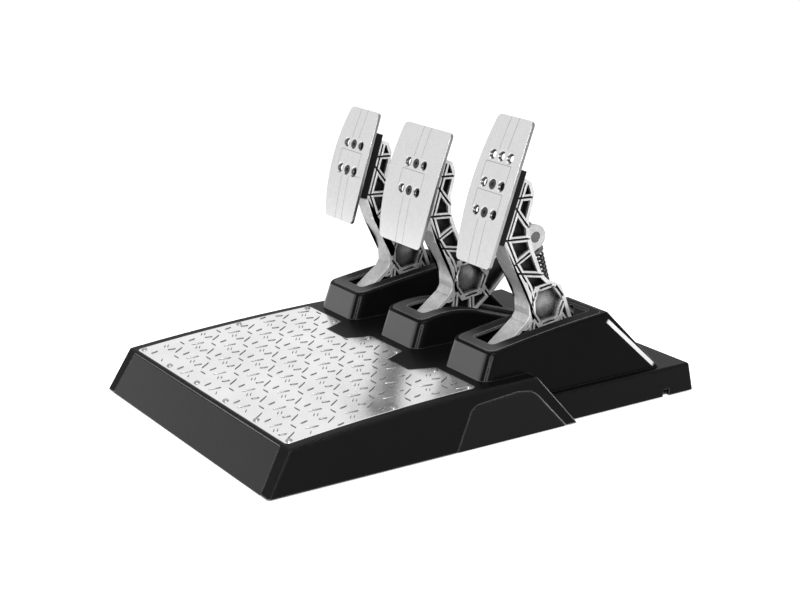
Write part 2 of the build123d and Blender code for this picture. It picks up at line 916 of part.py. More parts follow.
def arm_corners(kind):
    corners = front_run(kind)
    if kind == "brake":
        lower = strut_outline_shares + strut_under_shares
        corners += [arm_point(share) for share in reversed(lower)]
    else:
        shorter = clutch_shorter_by - pedal_advance if kind == "clutch" else 0
        corners += [arm_point(share) for share in reversed(foot_outline_shares)]
        toe = [arm_point(share) for share in reversed(toe_end_shares)]
        corners += [(across - shorter, up) for across, up in toe]
        corners += [arm_point(share) for share in reversed(heel_outline_shares)]
    upper = crown_outline_shares + rear_outline_shares
    corners += [arm_point(share) for share in reversed(upper)]
    return corners


def bars(runs, width, shorten, mode=Mode.ADD):
    """One round-ended bar along each pair of points."""
    for (y1, z1), (y2, z2) in runs:
        middle = ((y1 + y2) / 2, (z1 + z2) / 2, 0)
        with Locations(Location(middle, (0, 0, degrees(atan2(z2 - z1, y2 - y1))))):
            SlotCenterToCenter(hypot(y2 - y1, z2 - z1) - 2 * shorten, width, mode=mode)


hex_centre = arm_point(hex_place_share)
hex_outer = hex_radius + rib_width / cos(pi / 6)
hex_corners = []
for n in range(7):
    turn = radians(hex_turn + 60 * n)
    ring = (hex_radius + hex_outer) / 2
    hex_corners.append((hex_centre[0] + ring * cos(turn), hex_centre[1] + ring * sin(turn)))
hex_runs = list(zip(hex_corners, hex_corners[1:]))
rib_runs = [[arm_point(share) for share in rib] for rib in rib_shares]
magnet_at = arm_point(magnet_place_share)


def arm_outline(kind, eye_at):
    with BuildSketch() as outline:
        with BuildLine():
            Polyline(*arm_corners(kind), close=True)
        make_face()
        fillet(outline.vertices(), outline_radius)
        Circle(hub_radius)
        if kind == "brake":
            with Locations(eye_at):
                Circle(eye_radius)
    return outline.sketch_local


for kind in pedal_places:
    side = side_plane(kind)
    eye_at = setback(knuckle_setback) - pivot_places[kind], knuckle_height - pivot_height
    edge_runs = list(zip(front_run(kind)[:-2], front_run(kind)[1:-1]))
    outline = arm_outline(kind, eye_at)
    with BuildPart() as arm:
        with BuildSketch(side):
            add(outline)
        extrude(amount=arm_web / 2, both=True)
        with BuildSketch(side):
            add(outline)
            offset(outline, amount=-arm_flange, mode=Mode.SUBTRACT)
            bars(edge_runs, 2 * front_flange, 0)
            Circle(hub_radius)
            with Locations(magnet_at):
                Circle(magnet_boss_radius)
            if kind == "brake":
                with Locations(eye_at):
                    Rectangle(fork_pad, 2 * eye_radius, align=(Align.MAX, Align.CENTER))
                    Circle(eye_radius)
            add(outline, mode=Mode.INTERSECT)
        extrude(amount=hub_half, both=True)
        with BuildSketch(side):
            bars(rib_runs, rib_width, 0)
            with Locations(hex_centre):
                RegularPolygon(hex_outer, 6, rotation=hex_turn)
                RegularPolygon(hex_radius, 6, rotation=hex_turn, mode=Mode.SUBTRACT)
            add(outline, mode=Mode.INTERSECT)
        extrude(amount=hub_half - rib_drop, both=True)
        with BuildSketch(side):
            with Locations(hex_centre):
                RegularPolygon(hex_radius, 6, rotation=hex_turn)
            add(outline, mode=Mode.INTERSECT)
        extrude(amount=hex_web / 2, both=True)
        for end in (-1, 1):
            with BuildSketch(side.offset(end * hub_half)):
                bars(rib_runs, groove_width, groove_end)
                bars(hex_runs, groove_width, groove_end)
            extrude(amount=-end * (groove_depth + rib_drop), mode=Mode.SUBTRACT)
            with BuildSketch(side.offset(end * hub_half)):
                bars(edge_runs, 2 * (arm_flange + groove_width), 0)
                bars(edge_runs, 2 * arm_flange, -overrun, Mode.SUBTRACT)
                add(offset(outline, amount=-arm_flange, mode=Mode.PRIVATE), mode=Mode.INTERSECT)
                Circle(hub_radius, mode=Mode.SUBTRACT)
            extrude(amount=-end * groove_depth, mode=Mode.SUBTRACT)
        with BuildSketch(side):
            Circle(axle_radius)
        extrude(amount=arm_width, both=True, mode=Mode.SUBTRACT)
        with BuildSketch(face_plane(kind, 0, spacer_back)):
            with Locations(*[(0, along) for along in screw_rows]):
                Circle(face_screw_radius + screw_clearance)
        extrude(amount=-2 * face_screw_grip, mode=Mode.SUBTRACT)
        if kind == "brake":
            with BuildSketch(side):
                with Locations((eye_at[0] - fork_depth, eye_at[1])):
                    Rectangle(4 * eye_radius, 4 * eye_radius, align=(Align.MIN, Align.CENTER))
            extrude(amount=fork_gap, both=True, mode=Mode.SUBTRACT)
            with BuildSketch(side):
                with Locations(eye_at):
                    Circle(journal_radius + journal_clearance)
            extrude(amount=arm_width, both=True, mode=Mode.SUBTRACT)
    save(arm, f"{kind}_pedal_arm")


# Face plates, curved sheets with barrel sides, and the spacers behind them
def face_length(kind):
    return throttle_face_length if kind == "throttle" else short_face_length


def face_depth(kind, along, skin):
    """How far behind the chord the bent plate lies, this far below its front skin."""
    radius = face_radii[kind]
    half = face_length(kind) / 2
    middle = face_foot(kind) + half
    return sqrt(radius**2 - half**2) - sqrt((radius - skin) ** 2 - (along - middle) ** 2)


def face_arc(kind, first, last, skin):
    """The bent line of the plate in the pedal's side view."""
    stops = (first, (first + last) / 2, last)
    return ThreePointArc(*[face_point(kind, along, face_depth(kind, along, skin)) for along in stops])


def face_rows(kind):
    rows = screw_rows + [screw_rows[-1] + screw_row_pitch]
    return rows if kind == "throttle" else screw_rows


face_widths = {
    "clutch": (clutch_face_half_end, clutch_face_half_mid, clutch_face_half_end),
    "brake": (brake_face_half_foot, brake_face_half_mid, brake_face_half_top),
    "throttle": (throttle_face_half_end, throttle_face_half_mid, throttle_face_half_end),
}

for kind in pedal_places:
    foot = face_foot(kind)
    top = foot + face_length(kind)
    foot_half, mid_half, top_half = face_widths[kind]
    with BuildPart() as face_plate:
        with BuildSketch(side_plane(kind)):
            with BuildLine():
                front = face_arc(kind, foot, top, 0)
                back = face_arc(kind, foot, top, face_thickness)
                Line(front @ 0, back @ 0)
                Line(front @ 1, back @ 1)
            make_face()
        extrude(amount=2 * mid_half, both=True)
        with BuildSketch(face_plane(kind, 0, spacer_back)) as barrel:
            with BuildLine():
                middle = (foot + top) / 2
                right = ThreePointArc((foot_half, foot), (mid_half, middle), (top_half, top))
                left = ThreePointArc((-foot_half, foot), (-mid_half, middle), (-top_half, top))
                Line(right @ 0, left @ 0)
                Line(right @ 1, left @ 1)
            make_face()
            fillet(barrel.vertices(), face_corner)
        extrude(amount=2 * spacer_back, mode=Mode.INTERSECT)
        sink_slope = (face_sink_radius - face_hole_radius) / face_sink_depth
        for along in face_rows(kind):
            with Locations(face_plane(kind, along, face_depth(kind, along, 0) - fit_gap)):
                with GridLocations(screw_column_pitch, 0, 3, 1):
                    Cylinder(face_hole_radius, 2 * spacer_back, mode=Mode.SUBTRACT)
                    Cone(
                        face_hole_radius,
                        face_sink_radius + fit_gap * sink_slope,
                        face_sink_depth + fit_gap,
                        align=(Align.CENTER, Align.CENTER, Align.MAX),
                        mode=Mode.SUBTRACT,
                    )
    save(face_plate, f"{kind}_face_plate")

    with BuildPart() as spacer:
        with BuildSketch(side_plane(kind)):
            with BuildLine():
                end = spacer_end + face_foot(kind)
                front = face_arc(kind, spacer_start, end, face_thickness)
                back = [face_point(kind, along, spacer_back) for along in (spacer_start, end)]
                Polyline(front @ 0, *back, front @ 1)
            make_face()
        extrude(amount=spacer_half_width, both=True)
        with BuildSketch(face_plane(kind, 0, spacer_back)):
            with Locations(*[(0, along) for along in screw_rows]):
                Circle(face_hole_radius)
        extrude(amount=2 * spacer_back, mode=Mode.SUBTRACT)
    save(spacer, f"{kind}_face_spacer")

    with BuildPart() as plate_screws:
        for along in screw_rows:
            sunk = face_depth(kind, along, 0) + face_screw_sunk
            head = face_plane(kind, along, sunk)
            with BuildSketch(head):
                Circle(face_screw_head)
            with BuildSketch(head.offset(-face_screw_head_depth)):
                Circle(face_screw_radius)
            loft()
            with BuildSketch(head):
                Circle(face_screw_radius)
            extrude(amount=sunk - spacer_back - face_screw_grip)
            with BuildSketch(head):
                RegularPolygon(socket_radius, 6)
            extrude(amount=-socket_depth, mode=Mode.SUBTRACT)
    save(plate_screws, f"{kind}_face_screws")


# Brake spring strut: knuckle in the arm's fork, rod, spring between two seats, trunnion in its yoke
knuckle_y = setback(knuckle_setback)
trunnion_y = setback(trunnion_setback)
strut_length = hypot(trunnion_y - knuckle_y, knuckle_height - trunnion_height)
knuckle_half = fork_gap - knuckle_side_gap
low_seat = strut_length - trunnion_flat - seat_thickness
nut_start = strut_length + trunnion_flat + nut_gap
rod_end = nut_start + nut_height + rod_tail
yoke_inside = trunnion_half + yoke_ear_gap
yoke_outside = yoke_inside + yoke_ear
cell_y = trunnion_y + cell_shift
cell_top = floor_top + cell_height


def strut_plane(distance):
    """Across the rod, this far below the knuckle's axis, facing down the rod."""
    share = distance / strut_length
    run, drop = trunnion_y - knuckle_y, knuckle_height - trunnion_height
    return Plane(
        origin=(0, knuckle_y + run * share, knuckle_height - drop * share),
        x_dir=(1, 0, 0),
        z_dir=(0, run, -drop),
    )


def cross_plane(y, z):
    """The side view of the brake pedal, with its origin on a cross axis."""
    return Plane(origin=(0, y, z), x_dir=(0, 1, 0), z_dir=(1, 0, 0))


with BuildPart() as brake_knuckle:
    with BuildSketch(cross_plane(knuckle_y, knuckle_height)):
        Circle(knuckle_radius)
    extrude(amount=knuckle_half, both=True)
    with BuildSketch(cross_plane(knuckle_y, knuckle_height)):
        Circle(journal_radius)
    extrude(amount=hub_half, both=True)
    with BuildSketch(strut_plane(0)):
        Circle(neck_radius)
    extrude(amount=seat_start)
    with BuildSketch(strut_plane(rod_above)):
        Circle(rod_radius + rod_fit)
    extrude(amount=strut_length, mode=Mode.SUBTRACT)
save(brake_knuckle, "brake_knuckle")

with BuildPart() as brake_rod:
    with BuildSketch(strut_plane(rod_above)):
        Circle(rod_radius)
    extrude(amount=rod_end - rod_above)
save(brake_rod, "brake_rod")

with BuildPart() as rod_nut:
    with BuildSketch(strut_plane(nut_start)):
        RegularPolygon(nut_radius, 6)
        Circle(rod_radius + rod_fit, mode=Mode.SUBTRACT)
    extrude(amount=nut_height)
save(rod_nut, "brake_rod_nut")


def spring_seat(label, start, bore, guide_side):
    """A flanged washer, its guide collar inside the spring."""
    guide_radius = spring_radius - spring_wire - guide_play
    with BuildPart() as seat:
        with BuildSketch(strut_plane(start)):
            Circle(seat_radius)
        extrude(amount=seat_thickness)
        guide_start = start + (seat_thickness if guide_side > 0 else 0)
        with BuildSketch(strut_plane(guide_start)):
            Circle(guide_radius)
        extrude(amount=guide_side * guide_height)
        with BuildSketch(strut_plane(start - guide_height)):
            Circle(bore)
        extrude(amount=seat_thickness + 2 * guide_height, mode=Mode.SUBTRACT)
    save(seat, label)


spring_seat("brake_spring_top_seat", seat_start, rod_radius + rod_fit, 1)
spring_seat("brake_spring_bottom_seat", low_seat, rod_radius + rod_play, -1)

with BuildPart() as trunnion:
    with BuildSketch(cross_plane(trunnion_y, trunnion_height)):
        Circle(trunnion_radius)
    extrude(amount=trunnion_half, both=True)
    for level in (-trunnion_flat, trunnion_flat):
        with BuildSketch(strut_plane(strut_length + level)):
            Rectangle(4 * trunnion_half, 4 * trunnion_radius)
        extrude(amount=copysign(trunnion_radius, level), mode=Mode.SUBTRACT)
    with BuildSketch(cross_plane(trunnion_y, trunnion_height)):
        Circle(journal_radius)
    extrude(amount=yoke_outside, both=True)
    with BuildSketch(strut_plane(low_seat)):
        Circle(rod_radius + rod_play)
    extrude(amount=strut_length, mode=Mode.SUBTRACT)
save(trunnion, "load_cell_trunnion")

with BuildPart() as yoke:
    with BuildSketch(Plane.XY.offset(cell_top)):
        with Locations((0, cell_y)):
            Rectangle(2 * yoke_outside, 2 * yoke_half_length)
    extrude(amount=yoke_base)
    for side in (-1, 1):
        with BuildSketch(cross_plane(trunnion_y, trunnion_height).offset(side * yoke_inside)):
            Circle(yoke_ear_radius)
            foot_level = cell_top - trunnion_height
            Polygon(
                (-yoke_ear_radius, 0),
                (cell_y - yoke_half_length - trunnion_y, foot_level),
                (cell_shift + yoke_ear_radius, foot_level),
                (yoke_ear_radius, 0),
                align=None,
            )
        extrude(amount=side * yoke_ear)
    with BuildSketch(cross_plane(trunnion_y, trunnion_height)):
        Circle(journal_radius + journal_clearance)
    extrude(amount=2 * yoke_outside, both=True, mode=Mode.SUBTRACT)
    with Locations((0, cell_y, cell_top)):
        Cylinder(cell_bore, 4 * yoke_base, mode=Mode.SUBTRACT)
        with GridLocations(0, cell_radius + cell_bore, 1, 2):
            Cylinder(cell_screw_radius, 4 * yoke_base, mode=Mode.SUBTRACT)
save(yoke, "load_cell_yoke")

with BuildPart() as load_cell:
    with BuildSketch(Plane.XY.offset(floor_top)):
        with Locations((0, cell_y)):
            Circle(cell_radius)
            Circle(cell_bore, mode=Mode.SUBTRACT)
    extrude(amount=cell_height)
    with Locations((0, cell_y, cell_top)):
        with GridLocations(0, cell_radius + cell_bore, 1, 2):
            Cylinder(cell_screw_radius, 2 * cell_screw_grip, mode=Mode.SUBTRACT)
save(load_cell, "load_cell")

with BuildPart() as cell_screws:
    with Locations((0, cell_y, cell_top + yoke_base)):
        with GridLocations(0, cell_radius + cell_bore, 1, 2):
            Cylinder(
                cell_screw_radius,
                yoke_base + cell_screw_grip,
                align=(Align.CENTER, Align.CENTER, Align.MAX),
            )
            Cylinder(
                cell_screw_head,
                cell_screw_head_height,
                align=(Align.CENTER, Align.CENTER, Align.MIN),
            )
save(cell_screws, "load_cell_screws")


# Coil springs, one unbroken wire each
def helix_stop(plane, radius, pitch, turn):
    """A point of the helix and its direction, after this many turns."""
    angle = 2 * pi * turn
    place = plane.from_local_coords(Vector(radius * cos(angle), radius * sin(angle), pitch * turn))
    ahead = Vector(-radius * sin(angle), radius * cos(angle), pitch / (2 * pi))
    ahead = plane.x_dir * ahead.X + plane.y_dir * ahead.Y + plane.z_dir * ahead.Z
    return place, ahead.normalized()


def coil_spring(label, plane, outer_radius, wire, turns, length):
    """A wire swept along two arcs to each quarter turn, from its first to its last turn."""
    radius = outer_radius - wire / 2
    pitch = (length - wire) / turns
    start = plane.offset(wire / 2)
    stops = [helix_stop(start, radius, pitch, n / 4) for n in range(4 * turns + 1)]
    with BuildPart() as spring:
        with BuildLine() as path:
            for (first, first_way), (last, last_way) in zip(stops, stops[1:]):
                chord = last - first
                both_ways = first_way + last_way
                spread = 2 * (1 - first_way.dot(last_way))
                along = chord.dot(both_ways)
                reach = (sqrt(along**2 + spread * chord.dot(chord)) - along) / spread
                middle = (first + last + (first_way - last_way) * reach) / 2
                meeting_way = (last - last_way * reach) - (first + first_way * reach)
                TangentArc(first, middle, tangent=first_way)
                TangentArc(middle, last, tangent=meeting_way)
        with BuildSketch(Plane(origin=stops[0][0], z_dir=stops[0][1])):
            Circle(wire / 2)
        sweep(path=path.wire())
    save(spring, label)
    steps = 48
    points = [helix_stop(start, radius, pitch, n / steps)[0] for n in range(steps * turns + 1)]
    far = [(a, b) for n, a in enumerate(points) for b in points[n + steps // 2 : n + 2 * steps]]
    gap = min((a - b).length for a, b in far) - wire
    print(f"{label}: least gap between turns {gap:.2f} mm")


coil_spring(
    "brake_spring",
    strut_plane(seat_start + seat_thickness + spring_lift),
    spring_radius,
    spring_wire,
    spring_turns,
    low_seat - seat_start - seat_thickness - 2 * spring_lift,
)


# Return springs of the clutch and the throttle, with their cups, seats and rest stops
for kind in ("clutch", "throttle"):
    foot_up = arm_point(foot_outline_shares[0])[1]
    seat_centre = Vector(pedal_places[kind], setback(return_setback), pivot_height + foot_up)
    seat_plane = Plane(origin=seat_centre, x_dir=(1, 0, 0), z_dir=(0, 0, -1))
    with BuildPart() as return_seat_disc:
        with BuildSketch(seat_plane):
            Circle(return_radius + spring_lift)
        extrude(amount=return_seat)
        with BuildSketch(seat_plane):
            Circle(return_pin_radius)
        extrude(amount=return_seat + guide_height)
    save(return_seat_disc, f"{kind}_return_seat")

    spring_foot = floor_top + return_cup_wall + spring_lift
    spring_top = seat_centre.Z - return_seat - 2 * spring_lift
    coil_spring(
        f"{kind}_return_spring",
        Plane(origin=(pedal_places[kind], seat_centre.Y, spring_foot), x_dir=(1, 0, 0), z_dir=(0, 0, 1)),
        return_radius,
        return_wire,
        return_turns,
        spring_top - spring_foot,
    )

with BuildPart() as return_cups:
    for kind in ("clutch", "throttle"):
        with Locations((pedal_places[kind], setback(return_setback), floor_top)):
            Cylinder(return_cup_radius, return_cup_height, align=(Align.CENTER, Align.CENTER, Align.MIN))
        with Locations((pedal_places[kind], setback(return_setback), floor_top + return_cup_wall)):
            Cylinder(
                return_cup_radius - return_cup_wall,
                return_cup_height,
                align=(Align.CENTER, Align.CENTER, Align.MIN),
                mode=Mode.SUBTRACT,
            )
            Cylinder(return_pin_radius, return_pin_height, align=(Align.CENTER, Align.CENTER, Align.MIN))
save(return_cups, "return_spring_cups")

with BuildPart() as rest_stops:
    for kind in ("clutch", "throttle"):
        toe_up = arm_point(toe_end_shares[0])[1]
        heel_end = arm_point(heel_outline_shares[-1])[0] + outline_radius / 2
        stop_start = max(housing_slot_end(kind) - pivot_places[kind] + pad_gap, heel_end)
        with BuildPart(mode=Mode.PRIVATE) as rest_stop:
            with BuildSketch(side_plane(kind)):
                with Locations((stop_start, toe_up + pad_gap)):
                    Rectangle(pad_length, housing_rear_height, align=(Align.MIN, Align.MIN))
            extrude(amount=pad_half_width, both=True)
            add(housing_block(kind, housing_wall).part, mode=Mode.INTERSECT)
        add(rest_stop.part)
save(rest_stops, "rest_stops")


# Electronics: main board, cable socket, and the turn sensors of the clutch and the throttle
with BuildPart() as main_board:
    with Locations(Plane(origin=(board_side, setback(board_setback), floor_top + board_post))):
        Box(board_width, board_length, board_thickness, align=(Align.CENTER, Align.CENTER, Align.MIN))
        with Locations((0, 0, board_thickness)):
            with GridLocations(0, chip_pitch, 1, 2):
                Box(chip_size, chip_size, chip_height, align=(Align.CENTER, Align.CENTER, Align.MIN))
        with Locations((0, board_length / 2 - board_post - plug_block[1], board_thickness)):
            Box(*plug_block, align=(Align.CENTER, Align.CENTER, Align.MIN))
save(main_board, "main_board")

with BuildPart() as cable_socket:
    with Locations((socket_place, rear_y - rear_lean, floor_top)):
        Box(*socket_block, align=(Align.CENTER, Align.MAX, Align.MIN))
    with Locations((socket_place, rear_y - rear_lean, floor_top + socket_block[2] / 2)):
        Box(
            socket_hole[0],
            socket_depth_inside,
            socket_hole[1],
            align=(Align.CENTER, Align.MAX, Align.CENTER),
            mode=Mode.SUBTRACT,
        )
save(cable_socket, "cable_socket")

sensor_at = hub_half + magnet_length + sensor_gap
with BuildPart() as sensor_boards:
    for kind in ("clutch", "throttle"):
        with Locations((pedal_places[kind] + sensor_at, pivot_places[kind] + magnet_at[0], floor_top)):
            Box(sensor_thickness, sensor_size, sensor_height, align=(Align.MIN, Align.CENTER, Align.MIN))
save(sensor_boards, "sensor_boards")

with BuildPart() as sensor_brackets:
    for kind in ("clutch", "throttle"):
        bracket_x = pedal_places[kind] + sensor_at + sensor_thickness
        with Locations((bracket_x, pivot_places[kind] + magnet_at[0], floor_top)):
            Box(sensor_sheet, sensor_size, sensor_height, align=(Align.MIN, Align.CENTER, Align.MIN))
            Box(sensor_foot, sensor_size, sensor_sheet, align=(Align.MIN, Align.CENTER, Align.MIN))
save(sensor_brackets, "sensor_brackets")

for kind in ("clutch", "throttle"):
    with BuildPart() as magnet:
        with BuildSketch(side_plane(kind).offset(hub_half)):
            with Locations(magnet_at):
                Circle(magnet_radius)
        extrude(amount=magnet_length)
    save(magnet, f"{kind}_magnet")
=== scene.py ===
import json
from math import cos, radians, sin

import bmesh
import bpy
from mathutils import Matrix, Vector
from mathutils.bvhtree import BVHTree


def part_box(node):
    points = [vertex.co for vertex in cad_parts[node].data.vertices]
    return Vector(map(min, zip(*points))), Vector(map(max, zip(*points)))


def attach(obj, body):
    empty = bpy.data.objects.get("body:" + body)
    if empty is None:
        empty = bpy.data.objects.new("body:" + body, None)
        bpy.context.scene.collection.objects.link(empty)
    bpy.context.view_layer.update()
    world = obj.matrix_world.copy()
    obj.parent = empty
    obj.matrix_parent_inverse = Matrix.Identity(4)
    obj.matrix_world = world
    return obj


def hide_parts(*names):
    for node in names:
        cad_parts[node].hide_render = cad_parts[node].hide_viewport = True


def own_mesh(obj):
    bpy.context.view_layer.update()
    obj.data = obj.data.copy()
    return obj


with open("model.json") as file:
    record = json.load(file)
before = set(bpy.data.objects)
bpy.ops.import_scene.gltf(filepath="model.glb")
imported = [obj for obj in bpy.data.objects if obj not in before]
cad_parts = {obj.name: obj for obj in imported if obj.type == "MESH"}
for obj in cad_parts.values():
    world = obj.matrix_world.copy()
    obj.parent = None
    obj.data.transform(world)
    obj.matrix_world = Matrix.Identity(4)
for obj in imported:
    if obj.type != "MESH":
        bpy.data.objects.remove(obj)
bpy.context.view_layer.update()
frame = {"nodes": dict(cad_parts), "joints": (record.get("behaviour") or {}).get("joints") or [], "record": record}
nodes = frame["nodes"]
joints = {joint["name"]: joint for joint in frame["joints"]}
body_of = {n: body for body, names in frame["record"]["behaviour"]["bodies"].items() for n in names}
slot_of = {part["node"]: part["material_slot"] for part in frame["record"]["subparts"]}

mm = 0.001
kinds = ("clutch", "brake", "throttle")
pivot = {kind: Vector(joints[f"{kind}_pivot"]["pos_m"]) for kind in kinds}


# Shader sums
class Socket:
    """A node's output that can take part in sums."""

    def __init__(self, net, link):
        self.net = net
        self.link = link

    def math(self, operation, *others):
        return self.net.node("Math", dict(enumerate((self, *others))), operation=operation)

    def __add__(self, other):
        return self.math("ADD", other)

    def __radd__(self, other):
        return self.math("ADD", other)

    def __sub__(self, other):
        return self.math("SUBTRACT", other)

    def __rsub__(self, other):
        return self.net.node("Math", {0: other, 1: self}, operation="SUBTRACT")

    def __mul__(self, other):
        return self.math("MULTIPLY", other)

    def __rmul__(self, other):
        return self.math("MULTIPLY", other)

    def __pow__(self, other):
        return self.math("POWER", other)

    def __abs__(self):
        return self.math("ABSOLUTE")

    def least(self, other):
        return self.math("MINIMUM", other)

    def most(self, other):
        return self.math("MAXIMUM", other)

    def held(self):
        """The value, kept between 0 and 1."""
        return self.most(0.0).least(1.0)

    def rise(self, start, end):
        """0 before start and 1 past end, smooth between; start may be the larger."""
        low, high = min(start, end), max(start, end)
        sockets = {"Value": self, "From Min": low, "From Max": high}
        if start > end:
            sockets.update({"To Min": 1.0, "To Max": 0.0})
        return self.net.node("MapRange", sockets, interpolation_type="SMOOTHSTEP")

    def line(self, middle, half, soft):
        """1 on a line this far to each side of its middle."""
        return abs(self - middle).rise(half + soft, half)


class Net:
    """A node tree and the one way in which nodes are added to it."""

    def __init__(self, tree):
        self.tree = tree

    def node(self, kind, sockets=None, out=0, **settings):
        """A node of this type: its settings first, then its sockets. Gives one of its outputs."""
        node = self.tree.nodes.new("ShaderNode" + kind)
        for name, value in settings.items():
            setattr(node, name, value)
        for place, value in (sockets or {}).items():
            self.put(node.inputs[place], value)
        return Socket(self, node.outputs[out]) if node.outputs else None

    def put(self, socket, value):
        if isinstance(value, Socket):
            self.tree.links.new(value.link, socket)
        else:
            socket.default_value = value

    def split(self, vector):
        """The X, Y and Z of a vector."""
        x = self.node("SeparateXYZ", {0: vector})
        return [Socket(self, output) for output in x.link.node.outputs]

    def noise(self, vector, scale, detail=2.0, rough=0.5):
        sockets = {"Vector": vector, "Scale": scale, "Detail": detail, "Roughness": rough}
        return self.node("TexNoise", sockets)

    def cells(self, vector, scale):
        return self.node("TexVoronoi", {"Vector": vector, "Scale": scale})

    def stretch(self, vector, turn, scale):
        """The vector turned by these angles and then scaled along each axis."""
        turned = self.node("Mapping", {"Vector": vector, "Rotation": turn})
        return self.node("Mapping", {"Vector": turned, "Scale": scale})

    def facing(self):
        """The X, Y and Z of the direction that the surface faces."""
        return self.split(self.node("NewGeometry", out=1))

    def colour(self, factor, dark, light):
        """Dark where the factor is 0 and light where it is 1; a number stands for a grey."""
        pair = [c if isinstance(c, Socket) else (c, c, c, 1) for c in (dark, light)]
        return self.node("Mix", {0: factor, 6: pair[0], 7: pair[1]}, out=2, data_type="RGBA")

    def seen_white(self):
        """1 for what the camera sees directly, in a mirror or through glass."""
        camera, glossy, through = (self.node("LightPath", out=n) for n in (0, 3, 6))
        return camera.most(glossy).most(through)


class Finish(Net):
    """One material: a principled surface with colour, roughness and fine relief."""

    def __init__(self, name):
        self.material = bpy.data.materials.new(name)
        self.material.use_nodes = True
        super().__init__(self.material.node_tree)
        self.surface = self.tree.nodes["Principled BSDF"]
        self.place = self.node("TexCoord", out=3)

    def paint(self, **sockets):
        for name, value in sockets.items():
            self.put(self.surface.inputs[name.replace("_", " ")], value)

    def relief(self, height):
        """A relief whose height is in metres."""
        self.paint(Normal=self.node("Bump", {"Strength": 1.0, "Distance": 1.0, "Height": height}))

    def spark_grain(self, depth):
        """The fine cells that spark erosion leaves in a mould."""
        self.relief(self.cells(self.place, spark_cells) * depth)

    def open_sides(self, reach):
        """1 on open faces, less down in the grooves and pockets of the same piece."""
        settings = {"samples": probes, "only_local": True}
        return self.node("AmbientOcclusion", {"Distance": reach}, out=1, **settings)

    def painted_edge_highlight(self, reach):
        """1 on outward edges, 0 on the faces between them; it marks where a highlight is painted along the edges.
        """
        settings = {"samples": probes, "only_local": True, "inside": True}
        solid = self.node("AmbientOcclusion", {"Distance": reach}, out=1, **settings)
        return solid.rise(*edge_rise)


# Plastics
probes = 6
edge_rise = (0.92, 0.55)
spark_cells = 1600
mould_cloud = 14
gloss_swing = 0.08
edge_reach = 1.1 * mm
thin_edge_reach = 0.4 * mm
# How much lighter the highlight painted on the edges is
edge_highlight_lift = 0.16


def moulding(name, level, rough, gloss, grain, edge=edge_reach):
    """Injection-moulded plastic with spark grain, a slightly uneven gloss and a highlight painted along its
    outward edges.
    """
    finish = Finish(name)
    patch = finish.noise(finish.place, mould_cloud, 3)
    plain = finish.colour(patch, level * 0.75, level * 1.25)
    # A highlight painted along the outward edges, a little uneven
    edges = finish.painted_edge_highlight(edge) * (patch * 0.6 + 0.4)
    finish.paint(
        Base_Color=finish.colour(edges, plain, level + edge_highlight_lift),
        Roughness=patch * gloss_swing + (rough - gloss_swing / 2),
        Specular_IOR_Level=gloss,
    )
    finish.spark_grain(grain)
    return finish.material


# The housings' tails: where the slope starts, in Y and Z, which way it runs and how far
tail_start = (121.7 * mm, 82.7 * mm)
tail_run = (0.735, -0.678)
tail_length = 77 * mm
tail_inset = 1.9 * mm
tail_strip = 3.0 * mm
strip_soft = 0.4 * mm
strip_top = (2 * mm, 5 * mm)
strip_foot = (tail_length - 2 * mm, tail_length - 6 * mm)
# The grey of the reflection painted on the tails
tail_reflection_level = 0.80
side_wall = (0.5, 0.8)
front_wall = (-0.82, -0.94)


def painted_tail_reflection(finish):
    """1 on the strip that runs down the side walls, just inside the sloping tail, where a reflection is painted.
    """
    y, z = finish.split(finish.place)[1:]
    back, up = y - tail_start[0], z - tail_start[1]
    along = back * tail_run[0] + up * tail_run[1]
    depth = up * tail_run[0] - back * tail_run[1]
    ends = along.rise(*strip_top) * along.rise(*strip_foot)
    inner, outer = tail_inset + tail_strip, tail_inset
    width = depth.rise(-inner - strip_soft, -inner) * depth.rise(-outer + strip_soft, -outer)
    return width * ends * abs(finish.facing()[0]).rise(*side_wall)


def housing_moulding(kind):
    """Black moulding, glossy on its front wall, with a highlight painted on its edges and a reflection painted as
    a bright strip on the sloping tails.
    """
    finish = Finish(f"{kind}_housing_moulding")
    patch = finish.noise(finish.place, mould_cloud, 3)
    plain = finish.colour(patch, 0.0022, 0.0038)
    # A highlight painted along the outward edges
    edges = finish.painted_edge_highlight(edge_reach) * (patch * 0.6 + 0.4)
    colour = finish.colour(edges, plain, 0.06)
    # A reflection painted as a bright strip on the tails of the clutch and throttle housings
    if kind != "brake":
        colour = finish.colour(painted_tail_reflection(finish) * 0.9, colour, tail_reflection_level)
    finish.paint(
        Base_Color=colour,
        Roughness=patch * gloss_swing + 0.20,
        Specular_IOR_Level=0.03,
        Coat_Weight=finish.facing()[1].rise(*front_wall),
        Coat_Roughness=0.22,
        Coat_IOR=1.85,
    )
    finish.spark_grain(0.006 * mm)
    return finish.material


seam_from_middle = (128 * mm, 132 * mm)
seam_from_front = (30 * mm, 50 * mm)
seam_reach = 1.3 * mm


def casing_moulding():
    """Black moulding with a highlight painted along its edges, brightest on the rear side edges along the slanted
    seam.
    """
    finish = Finish("front_casing_moulding")
    x, y = finish.split(finish.place)[:2]
    patch = finish.noise(finish.place, mould_cloud, 3)
    plain = finish.colour(patch, 0.0027, 0.0045)
    # Where the painted edge highlight is brightest: the rear side edges along the slanted seam
    seam = abs(x).rise(*seam_from_middle) * y.rise(*seam_from_front)
    edges = finish.painted_edge_highlight(seam_reach) * ((patch * 0.3 + 0.2) * (1.0 - seam) + seam)
    finish.paint(
        Base_Color=finish.colour(edges, plain, 0.50),
        Roughness=patch * gloss_swing + 0.30,
        Specular_IOR_Level=0.04,
    )
    finish.spark_grain(0.012 * mm)
    return finish.material


bezel_cloud = 30
bezel_edge = 0.9 * mm
bezel_corner = 4 * mm
bezel_fade_shares = (0.22, 0.02)


